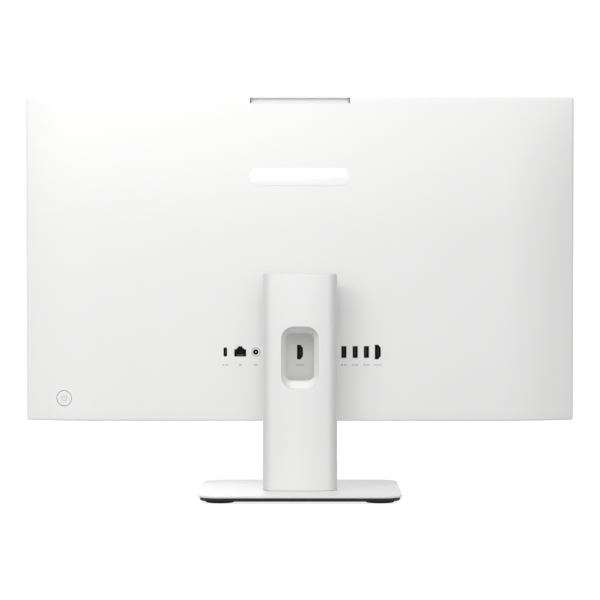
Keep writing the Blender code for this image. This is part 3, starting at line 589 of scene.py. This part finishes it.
def hdmi_outline(x):
    """Upright slot with a straight long side towards +X and bevelled corners towards -X."""
    z = SOCKET_Z
    half = 0.0081
    short = 0.0044
    wide = 0.0033
    bevel = -0.0006
    return [(x + wide, z - half), (x + wide, z + half), (x + bevel, z + half), (x - wide, z + short),
            (x - wide, z - short), (x + bevel, z - half)]


def ethernet_outline(x):
    """Wide opening with a stepped notch on top for the plug's latch."""
    low = SOCKET_Z - 0.0050
    shoulder = low + 0.0080
    step = shoulder + 0.0014
    top = low + 0.0113
    wide = 0.00655
    middle = 0.0042
    narrow = 0.0025
    steps = ((wide, low), (wide, shoulder), (middle, shoulder), (middle, step), (narrow, step),
             (narrow, top))
    right = [(x + half, z) for half, z in steps]
    left = [(x - half, z) for half, z in reversed(steps)]
    return right + left


def socket_outlines():
    """Opening outline of each socket by node name."""
    outlines = {}
    for name in ("usb_c_port", "ethernet_jack", "dc_power_jack", "hdmi_in_port", "usb_a_port_1",
                 "usb_a_port_2", "usb_a_port_3", "hdmi_out_port"):
        x = socket_centre(name)[0]
        if name == "usb_c_port":
            outlines[name] = centred((x, SOCKET_Z), *USB_C_OPENING)
        elif name == "ethernet_jack":
            outlines[name] = ethernet_outline(x)
        elif name == "dc_power_jack":
            outlines[name] = circle((x, SOCKET_Z), POWER_JACK_RADIUS, 32)
        elif name.startswith("hdmi"):
            outlines[name] = hdmi_outline(x)
        else:
            outlines[name] = centred((x, SOCKET_Z), *USB_A_OPENING, 3)
    return outlines


def add_opening(bm, outline, chamfer):
    """Cutter for an opening in the flat rear face, with a fine chamfer at its mouth."""
    wide = grown(outline, chamfer)
    wider = grown(outline, chamfer * 1.4)
    add_sections(bm, "Y", [(outline, PLATEAU - 0.006), (outline, PLATEAU - chamfer), (wide, PLATEAU),
                           (wider, PLATEAU + 0.4 * chamfer)])


def button_frame():
    """Matrix whose +Z points out of the rear cover at the power button."""
    inward = Vector(JOINTS["power_button_press"]["axis"])
    low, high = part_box("power_button")
    z = (low[2] + high[2]) / 2
    turn = (-inward).to_track_quat("Z", "Y").to_matrix().to_4x4()
    return Matrix.Translation((BUTTON_X, cover_rear(BUTTON_X, z), z)) @ turn


def bottom_slots():
    """Air slots and speaker slots through the bottom wall."""
    shapes = []
    pitch = 0.008
    length = 0.014
    middle = -0.013
    for first, count, width in ((-0.120, 31, 0.0036), (-0.208, 9, 0.0024), (0.144, 9, 0.0024)):
        for i in range(count):
            outline = centred((first + pitch * i, middle), width, length, width / 2 - 0.0001, 4)
            shapes.append((add_prism, "Z", outline, BOTTOM - 0.002, BOTTOM + 0.004))
    return shapes


def add_many(bm, shapes):
    """Several shapes that don't touch, as one tool."""
    for build, *args in shapes:
        build(bm, *args)


def make_rear_cover():
    """Fine version of the rear cover with all its openings."""
    grid = (COVER_GRID_STEPS, COVER_GRID_STEPS)
    cover = piece("rear_cover_shell", MATERIALS["white_shell"], HEAD, add_cover_block, 0.0, COVER_LOW[1],
                  RIM_RADIUS, *grid)
    cut(cover, (add_cover_block, COVER_WALL, COVER_LOW[1] - 0.01, 0.0, *grid))
    notch_low = (CAP_LOW[0] - CAP_SIDE_GAP, CAP_LOW[1] - 0.0005, CAP_LOW[2] - 0.00003)
    notch_high = (CAP_HIGH[0] + CAP_SIDE_GAP, 0.0, TOP + 0.01)
    openings = [(add_opening, outline, SOCKET_CHAMFER) for outline in socket_outlines().values()]
    openings.append((add_box, notch_low, notch_high))
    hinge = JOINTS["head_tilt"]["pos_m"]
    tall = 0.0084
    for side in (-1, 1):
        xs = sorted(side * edge for edge in EAR_SLOT_SIDES)
        openings.append((add_box, (xs[0], -0.005, hinge[2] - tall), (xs[1], 0.010, hinge[2] + tall)))
    openings += bottom_slots()
    cut(cover, (add_many, openings))
    jack = socket_centre("dc_power_jack")[0]
    out = Matrix.Translation((jack, PLATEAU, SOCKET_Z)) @ Matrix.Rotation(math.radians(-90), 4, "X")
    radius = JACK_GROOVE[1]
    cut(cover, (add_turned, out, [(radius, -0.0012), (radius, 0.001)]))
    radius = BUTTON_HOLE_RADIUS
    groove = [(radius, -0.008), (radius, -0.0002), (radius + 0.0003, 0.0001), (radius + 0.0003, 0.006)]
    cut(cover, (add_turned, button_frame(), groove))
    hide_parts("rear_cover")


def make_button():
    """Dished button cap with a rounded edge, and its plain on/off sign."""
    matrix = button_frame()
    radius = BUTTON_RADIUS
    flange = 0.0100
    stem = 0.0025
    cap = [(radius - 0.0005, 0.0), (radius - 0.0002, -0.0001), (radius, -0.0004), (radius, -0.0029),
           (flange, -0.0029), (flange, -0.0037), (stem, -0.0037), (stem, -0.0043)]
    face = [(0.002, -0.00012), (0.006, -0.00008)]
    button = piece("power_button_cap", MATERIALS["white_shell"], "button", add_turned, matrix, face + cap)
    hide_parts("power_button")
    sign_depths = (-0.0001, 0.00004)
    outer = arc((0, 0), 0.0031, 130, 410, 30)
    inner = arc((0, 0), 0.0026, 410, 130, 30)
    rings = [[matrix @ Vector((-u, v, t)) for u, v in outer + inner] for t in sign_depths]
    piece("power_sign_ring", SIGN_GREY, "button", add_loft, rings)
    bar = centred((0, 0.0024), 0.0006, 0.0028, 0.0002, 4)
    rings = [[matrix @ Vector((u, v, t)) for u, v in bar] for t in sign_depths]
    piece("power_sign_bar", SIGN_GREY, "button", add_loft, rings)


# ------------------------------------------------------------------ sockets and marks
def make_sockets():
    """Lining and contacts of each socket."""
    mouth = PLATEAU - 0.0012
    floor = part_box("usb_c_port")[1][1] - 0.0090
    for name, outline in socket_outlines().items():
        x, z = socket_centre(name)[0], SOCKET_Z
        if name == "dc_power_jack":
            make_power_jack(x, z, floor)
            continue
        lining = SOCKET_METAL if name != "ethernet_jack" else SOCKET_DARK
        inner = grown(outline, -0.0003)
        outer = grown(outline, -0.00005)
        sections = [(inner, floor + 0.0002), (inner, mouth), (outer, mouth), (outer, floor + 0.0002)]
        piece(name + "_lining", lining, HEAD, add_sections, "Y", sections, closed=True)
        half = {"usb_c_port": 0.0033, "hdmi_in_port": 0.0054, "hdmi_out_port": 0.0054}.get(name, 0.0053)
        if name == "ethernet_jack":
            wire_pitch = 0.00102
            for i in range(8):
                u = x + (i - 3.5) * wire_pitch
                wire = centred((u, z - 0.0036), 0.00035, 0.0007, 0.0001, 2)
                piece(f"{name}_contact_{i + 1}", GOLD, HEAD, add_prism, "Y", wire, floor + 0.0002, -0.0018)
            continue
        count, width, shift = (4, 0.0009, -0.00015) if name.startswith("usb_a") else (9, 0.0004, -0.00085)
        if name == "usb_c_port":
            shift = -0.00045
        for i in range(count):
            v = z + (i - (count - 1) / 2) * 1.7 * half / count
            strip = centred((x + shift, v), 0.00012, width, 0.00004, 1)
            piece(f"{name}_contact_{i + 1}", GOLD, HEAD, add_prism, "Y", strip, floor + 0.0004, -0.0016)


def make_power_jack(x, z, floor):
    """Flush face round the power socket, set in a fine groove that a dark ring fills as painted shade, and its
    centre pin.
    """
    out = Matrix.Translation((x, PLATEAU, z)) @ Matrix.Rotation(math.radians(-90), 4, "X")
    inner = POWER_JACK_RADIUS + 0.0002
    outer = JACK_GROOVE[0] - 0.00005
    collar = [(inner, -0.0010), (inner, -0.0001), (inner + 0.0002, 0.0001), (outer - 0.0002, 0.0001),
              (outer, -0.0001), (outer, -0.0010)]
    piece("power_socket_collar", MATERIALS["white_shell"], HEAD, add_turned, out, collar, closed=True)
    # Painted shade: a dark ring just below the surface fills the groove and stands in for its shade.
    ring = [(0.0043, -0.0010), (0.0043, -0.00005), (0.0047, -0.00005), (0.0047, -0.0010)]
    piece("power_socket_ring", SOCKET_METAL, HEAD, add_turned, out, ring, closed=True)
    pin = [(0.0004, -0.0110), (0.0008, -0.0105), (0.0008, -0.0004), (0.0006, -0.0002)]
    piece("power_socket_pin", MATERIALS["aluminium"], HEAD, add_turned, out, pin, 24)
    sleeve = [(0.00255, -0.0115), (0.00255, -0.0012), (0.00278, -0.0010), (0.00278, -0.0115)]
    piece("power_socket_sleeve", SOCKET_DARK, HEAD, add_turned, out, sleeve, 32, closed=True)


def make_marks():
    """Plain grey dots and bars that stand in for the print under the sockets."""
    level = SOCKET_Z - 0.0143
    thin = 0.00004
    dots = {"usb_c": ((0.0020, 0.0024, 0.0020), (-0.0016, 0.0032, 0.0018)),
            "ethernet": ((0.0, 0.0034, 0.0026),),
            "dc_power": ((0.0, 0.0046, 0.0022),),
            "usb_a": ((0.0020, 0.0026, 0.0026), (-0.0018, 0.0038, 0.0020)),
            "hdmi": ((0.0, 0.0092, 0.0016),)}
    for name in socket_outlines():
        x = socket_centre(name)[0]
        shapes = next(group for kind, group in dots.items() if name.startswith(kind))
        for number, (shift, width, height) in enumerate(shapes, 1):
            bar = centred((x + shift, level), width, height, height / 2 - 0.0001, 4)
            ends = (PLATEAU - thin, PLATEAU + thin)
            piece(f"{name}_mark_{number}", GREY_PRINT, HEAD, add_prism, "Y", bar, *ends)


def make_badge():
    """Blank glossy badge with round ends, following the slope of the cover."""
    centre_z = 0.355
    half_width = 0.056
    half_height = 0.0095
    height = 0.0004
    rings = []
    steps = ((0.0, -0.0006), (0.0, height - 0.0002), (0.0001, height - 0.00006), (0.0003, height))
    for inset, lift in steps:
        outline = centred((0, centre_z), 2 * (half_width - inset), 2 * (half_height - inset),
                          half_height - inset - 0.0001, 12)
        rings.append([Vector((u, cover_rear(u, v) + lift, v)) for u, v in outline])
    piece("blank_badge", GLOSS_WHITE, HEAD, add_loft, rings)


# ------------------------------------------------------------------ front
def make_front_frame():
    """Front frame with round corners, softened edges and the chin."""
    left, right = FRAME_LOW[0], FRAME_HIGH[0]
    low, high = FRAME_LOW[2], FRAME_HIGH[2]
    front, rear = FRAME_LOW[1], FRAME_HIGH[1]
    open_low = PANEL_LOW[2] - GAP
    open_high = PANEL_HIGH[2] + GAP
    open_side = PANEL_HIGH[0] + GAP
    round_over = 0.0009
    sections = [(rounded_rectangle(left, right, low, high, RIM_RADIUS), rear)]
    for turn in range(0, 91, 15):
        inset = round_over * (1 - math.cos(math.radians(turn)))
        y = front + round_over * (1 - math.sin(math.radians(turn)))
        outline = rounded_rectangle(left + inset, right - inset, low + inset, high - inset,
                                    RIM_RADIUS - inset)
        sections.append((outline, y))
    bevel = 0.0002
    wide = rounded_rectangle(-open_side - bevel, open_side + bevel, open_low - bevel, open_high + bevel,
                             0.0006)
    tight = rounded_rectangle(-open_side, open_side, open_low, open_high, 0.0005)
    sections += [(wide, front), (tight, front + bevel), (tight, rear)]
    obj = piece("front_frame_fine", MATERIALS["white_shell"], HEAD, add_sections, "Y", sections,
                closed=True)
    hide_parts("front_frame")


# ------------------------------------------------------------------ pop-up camera
def make_camera_cap():
    """Cap with a scooped finger pull under its lip and a painted shadow below the lip, and black strips in the
    gaps at its sides that paint the shade of those gaps.
    """
    low, high = CAP_LOW[2], CAP_HIGH[2]
    front = CAP_LOW[1]
    rear = CAP_HIGH[1]
    deep = 0.0060
    brim = 0.0005
    under_lip = high - 0.0012
    tall = under_lip - low - brim
    scoop = [(rear + deep * u, under_lip + tall * v) for u, v in arc((0, 0), 1, 270, 180, 16)]
    lip = cover_rear(0, high) - 0.0002
    outline = [(front, low), (rear - 0.0002, low)] + scoop
    outline += [(lip, under_lip), (lip, high - 0.0004), (lip - 0.0004, high), (front + 0.0003, high)]
    outline.append((front, high - 0.0003))
    half = CAP_HIGH[0] + 0.0003
    cap = piece("webcam_cap_fine", CAP_WHITE, "webcam", add_prism, "X", outline, -half, half)
    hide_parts("webcam_cap")
    # Painted shade: black boxes in the side gaps stand in for the shade in those gaps.
    for number, side in enumerate((-1, 1), 1):
        xs = sorted((side * (half + 0.0001), side * (CAP_HIGH[0] + CAP_SIDE_GAP - 0.00002)))
        gap_shadow_box = ((xs[0], RIM_REAR - 0.0007, low + 0.0006), (xs[1], RIM_REAR - 0.0002, high - 0.0006))
        piece(f"camera_bay_seal_{number}", MATERIALS["black_plastic"], HEAD, add_box, *gap_shadow_box)


# ------------------------------------------------------------------ neck
def neck_surface(x, inset=0.0):
    """Rear face of the neck at x, on its large arc."""
    centre = NECK_HIGH[1] - NECK_REAR_ARC
    return centre + math.sqrt((NECK_REAR_ARC - inset) ** 2 - x ** 2)


def neck_rear_outline(inset):
    """Bowed rear face with round vertical edges, down to the seam with the front shell."""
    half = NECK_HIGH[0] - inset
    big = NECK_REAR_ARC - inset
    small = NECK_EDGE_RADIUS - inset
    big_centre = NECK_HIGH[1] - NECK_REAR_ARC
    side = NECK_HIGH[0] - NECK_EDGE_RADIUS
    small_centre = big_centre + math.sqrt((NECK_REAR_ARC - NECK_EDGE_RADIUS) ** 2 - side ** 2)
    lean = math.degrees(math.atan2(side, small_centre - big_centre))
    points = arc((side, small_centre), small, 0, 90 - lean, 12)
    points += arc((0, big_centre), big, 90 - lean, 90 + lean, 24)[1:-1]
    points += arc((-side, small_centre), small, 90 + lean, 180, 12)
    seam = NECK_LOW[1]
    return [(half, seam)] + points + [(-half, seam)]


def neck_front_outline(inset):
    """Front half of the neck, with small round vertical edges."""
    corner = 0.0035
    half = FRONT_SHELL_HIGH[0] - inset
    radius = corner - inset
    front = FRONT_SHELL_LOW[1] + corner
    side = FRONT_SHELL_HIGH[0] - corner
    points = arc((-side, front), radius, 180, 270, 8) + arc((side, front), radius, 270, 360, 8)
    return [(-half, FRONT_SHELL_HIGH[1])] + points + [(half, FRONT_SHELL_HIGH[1])]


def add_capped_column(bm, outline, bottom, top, round_over):
    """Column with a rounded top edge, and grid lines above and below the cable hole."""
    reach = HOLE_MOUTH[1] / 2 + 0.003
    sections = [(outline(0.0), z) for z in (bottom, HOLE_Z - reach, HOLE_Z + reach)]
    for turn in range(0, 91, 18):
        inset = round_over * (1 - math.cos(math.radians(turn)))
        sections.append((outline(inset), top - round_over * (1 - math.sin(math.radians(turn)))))
    add_sections(bm, "Z", sections)


def hole_outline(size, grow=0.0):
    """Outline of the cable hole, grown all round."""
    width, height, radius = size
    return centred((0, HOLE_Z), width + 2 * grow, height + 2 * grow, radius + grow, 12)


def add_mouth(bm, flare):
    """Cutter for the hole's mouth: a flared lip with room behind it for the funnel's wall."""
    rings = []
    for grow, depth in ((0.0016, NECK_WALL + 0.001), (0.0016, MOUTH_LIP), (0.0, MOUTH_LIP)):
        outline = hole_outline(HOLE_MOUTH, grow)
        rings.append([Vector((u, neck_surface(u) - depth, v)) for u, v in outline])
    for turn in range(15, 91, 15):
        grow = flare * (1 - math.cos(math.radians(turn)))
        depth = flare * (1 - math.sin(math.radians(turn)))
        outline = hole_outline(HOLE_MOUTH, grow)
        rings.append([Vector((u, neck_surface(u) - depth, v)) for u, v in outline])
    wide = hole_outline(HOLE_MOUTH, flare * 1.2)
    rings.append([Vector((u, neck_surface(u) + 0.002, v)) for u, v in wide])
    add_loft(bm, rings)


def make_neck():
    """Rear shell, front shell and the funnel between them."""
    top = NECK_HIGH[2]
    bottom = NECK_LOW[2]
    rear = piece("neck_rear_fine", NECK_WHITE, STAND, add_capped_column, neck_rear_outline,
                 bottom, top, NECK_TOP_ROUND)
    cavity = neck_rear_outline(NECK_WALL)
    cavity = [(cavity[0][0], NECK_LOW[1] - 0.001)] + cavity[1:-1] + [(cavity[-1][0], NECK_LOW[1] - 0.001)]
    cut(rear, (add_prism, "Z", cavity, bottom - 0.01, top - NECK_WALL), (add_mouth, MOUTH_FLARE))
    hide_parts("neck_rear_shell")

    front = piece("neck_front_fine", MATERIALS["white_shell"], STAND, add_capped_column, neck_front_outline,
                  bottom, top, NECK_TOP_ROUND)
    cavity = neck_front_outline(NECK_WALL)
    cavity = [(cavity[0][0], FRONT_SHELL_HIGH[1] + 0.001)] + cavity[1:-1]
    cavity.append((-cavity[0][0], FRONT_SHELL_HIGH[1] + 0.001))
    hinge = JOINTS["head_tilt"]["pos_m"]
    window = 0.0082
    side = HINGE_WINDOW_SIDE
    y = FRONT_SHELL_LOW[1]
    cut(front, (add_prism, "Z", cavity, bottom - 0.01, top - NECK_WALL),
        (add_prism, "Y", hole_outline(HOLE_THROAT, 0.0013 + GAP), y - 0.01, y + 0.01),
        (add_box, (-side, y - 0.01, hinge[2] - window), (side, y + 0.01, hinge[2] + window)))
    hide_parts("neck_front_shell")

    wall = 0.0012
    steps = 12
    inner = []
    outer = []
    mouth_depth = MOUTH_LIP + 0.0001
    throat_y = 0.0285
    for i in range(steps + 1):
        t = i / steps
        ease = t * t * (3 - 2 * t)
        size = tuple(a + (b - a) * ease for a, b in zip(HOLE_MOUTH, HOLE_THROAT))
        for rows, grow in ((inner, 0.0), (outer, wall)):
            row = []
            for u, v in hole_outline(size, grow):
                start = neck_surface(u) - mouth_depth
                row.append(Vector((u, start + (throat_y - start) * t, v)))
            rows.append(row)
    end = FRONT_SHELL_LOW[1] + GAP
    for rows, grow in ((inner, 0.0), (outer, wall)):
        rows.append([place("Y", u, v, end) for u, v in hole_outline(HOLE_THROAT, grow)])
    liner = piece("cable_funnel", FUNNEL_WHITE, STAND, add_loft, inner + outer[::-1], closed=True)
    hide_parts("cable_hole_liner")


# ------------------------------------------------------------------ base
def slab_sections(low, high, corner, top_round, bottom_round, steps=5):
    """Sections of a slab with rounded upper and lower edges."""
    sections = []
    for i in range(steps + 1):
        turn = math.radians(90 * i / steps)
        inset = bottom_round * (1 - math.sin(turn))
        height = low[2] + bottom_round * (1 - math.cos(turn))
        sections.append((slab_outline(low, high, corner, inset), height))
    for i in range(steps + 1):
        turn = math.radians(90 * i / steps)
        inset = top_round * (1 - math.cos(turn))
        height = high[2] - top_round * (1 - math.sin(turn))
        sections.append((slab_outline(low, high, corner, inset), height))
    return sections


def slab_outline(low, high, corner, inset):
    """Rounded outline of a slab, moved inwards."""
    return rounded_rectangle(low[0] + inset, high[0] - inset, low[1] + inset, high[1] - inset,
                             corner - inset, 16)


def make_base():
    """Base cover, weight plate and feet with softened edges."""
    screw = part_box("stand_thumb_screw")
    screw_y = (screw[0][1] + screw[1][1]) / 2
    bore = circle((0, screw_y), 0.0036)
    well = circle((0, screw_y), 0.0126)
    cover = piece("base_cover_fine", MATERIALS["white_base"], STAND, add_sections, "Z",
                  slab_sections(BASE_LOW, BASE_HIGH, BASE_CORNER, 0.0009, 0.0004))
    cut(cover, (add_prism, "Z", bore, 0.0, 0.02))
    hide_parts("base_cover")
    weight = piece("base_weight_fine", MATERIALS["black_steel"], STAND, add_sections, "Z",
                   slab_sections(WEIGHT_LOW, WEIGHT_HIGH, BASE_CORNER - 0.002, 0.0002, 0.0018))
    cut(weight, (add_prism, "Z", well, 0.0, 0.02))
    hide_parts("base_weight_plate")
    for number in range(1, 5):
        node = f"rubber_foot_{number}"
        low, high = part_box(node)
        radius = (high[0] - low[0]) / 2
        centre = Matrix.Translation(((low[0] + high[0]) / 2, (low[1] + high[1]) / 2, 0))
        profile = [(radius - 0.0040, 0.0003), (radius - 0.0034, 0.0), (radius - 0.0006, 0.0),
                   (radius - 0.0002, 0.0002), (radius, 0.0006), (radius, high[2])]
        foot = piece(node + "_fine", MATERIALS["rubber"], STAND, add_turned, centre, profile)
        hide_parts(node)


# ------------------------------------------------------------------ carried-over nodes
def finish_nodes():
    """Give every CAD node the material of its slot, and the socket bodies a darker one."""
    slots = {part["node"]: part["material_slot"] for part in frame["record"]["subparts"]}
    for node, obj in frame["nodes"].items():
        material = MATERIALS[slots[node]]
        if node.endswith("_port") or "_port_" in node or node.endswith("_jack"):
            material = SOCKET_DARK
        obj.data.materials.clear()
        obj.data.materials.append(material)


# ------------------------------------------------------------------ studio
FLOOR_LIT = (0.59, 0.59, 0.59)
FLOOR_SEEN = (0.31, 0.31, 0.31)
FLOOR_GLOW = 0.81
WORLD_LIT = 0.832
WORLD_SEEN = 1.0
LENS = 162.8
CAMERA_PLACE = (0.0, 3.020, 0.2939)
CAMERA_DROP = 1.44
REAR_AIM = (0.0, 0.0, 0.25)
FRONT_AIM = (0.0, 0.0, 0.15)


def add_area(name, location, target, size, power):
    """Soft square light aimed at a point."""
    data = bpy.data.lights.new(name, "AREA")
    data.shape = "SQUARE"
    data.size = size
    data.energy = power
    obj = bpy.data.objects.new(name, data)
    obj.location = location
    obj.rotation_euler = (Vector(target) - Vector(location)).to_track_quat("-Z", "Y").to_euler()
    bpy.context.scene.collection.objects.link(obj)


def make_floor():
    """Plain pale floor that runs out of sight."""
    bm = bmesh.new()
    half = 30.0
    corners = ((-half, -half), (half, -half), (half, half), (-half, half))
    bm.faces.new([bm.verts.new((x, y, 0.0)) for x, y in corners])
    floor = link("studio_floor", bm)
    nodes = Nodes("floor_pale")
    cloud = nodes.noise(2.0, 3.0)
    lit = nodes.blend(nodes.ranged(cloud, 0.0, 1.0), FLOOR_LIT, shade(FLOOR_LIT, 1.02))
    path = nodes.add("ShaderNodeLightPath")
    seen = path.outputs["Is Camera Ray"]
    nodes.link(nodes.blend(seen, lit, FLOOR_SEEN), nodes.shader.inputs["Base Color"])
    nodes.link(nodes.ranged(seen, 0.0, FLOOR_GLOW, 0.0, 1.0), nodes.shader.inputs["Emission Strength"])
    nodes.set(Roughness=0.9, Specular_IOR_Level=0.1, Emission_Color=(1.0, 1.0, 1.0, 1.0))
    floor.data.materials.append(nodes.material)


def make_world():
    """White surround for the camera, with softer light for everything else."""
    world = bpy.data.worlds.new("studio_world")
    bpy.context.scene.world = world
    world.use_nodes = True
    tree = world.node_tree
    background = tree.nodes["Background"]
    background.inputs["Color"].default_value = (1, 1, 1, 1)
    path = tree.nodes.new("ShaderNodeLightPath")
    strength = tree.nodes.new("ShaderNodeMapRange")
    strength.inputs["To Min"].default_value = WORLD_LIT
    strength.inputs["To Max"].default_value = WORLD_SEEN
    tree.links.new(path.outputs["Is Camera Ray"], strength.inputs["Value"])
    tree.links.new(strength.outputs["Result"], background.inputs["Strength"])


def make_camera():
    """Long lens behind the computer, a little above its middle and tilted slightly down."""
    data = bpy.data.cameras.new("camera")
    data.sensor_width = 36.0
    data.lens = LENS
    data.clip_end = 100.0
    camera = bpy.data.objects.new("camera", data)
    camera.location = CAMERA_PLACE
    camera.rotation_euler = (math.radians(90 - CAMERA_DROP), 0.0, math.radians(180))
    bpy.context.scene.collection.objects.link(camera)
    bpy.context.scene.camera = camera


def make_studio():
    """Floor, surround, lights and camera."""
    make_floor()
    make_world()
    make_camera()
    add_area("key", (0.6, 0.7, 1.0), REAR_AIM, size=0.5, power=2.2)
    add_area("side", (0.9, 0.8, 0.9), REAR_AIM, size=0.5, power=1.9)
    add_area("middle", (0.0, 0.9, 0.7), REAR_AIM, size=0.4, power=0.95)
    add_area("drop", (0.0, 0.35, 0.75), REAR_AIM, size=0.4, power=0.25)
    add_area("front", (0.5, -1.5, 0.9), FRONT_AIM, size=1.0, power=6.0)
    bpy.context.scene.view_settings.view_transform = "Standard"


make_rear_cover()
make_button()
make_sockets()
make_marks()
make_badge()
make_front_frame()
make_camera_cap()
make_neck()
make_base()
finish_nodes()
make_studio()
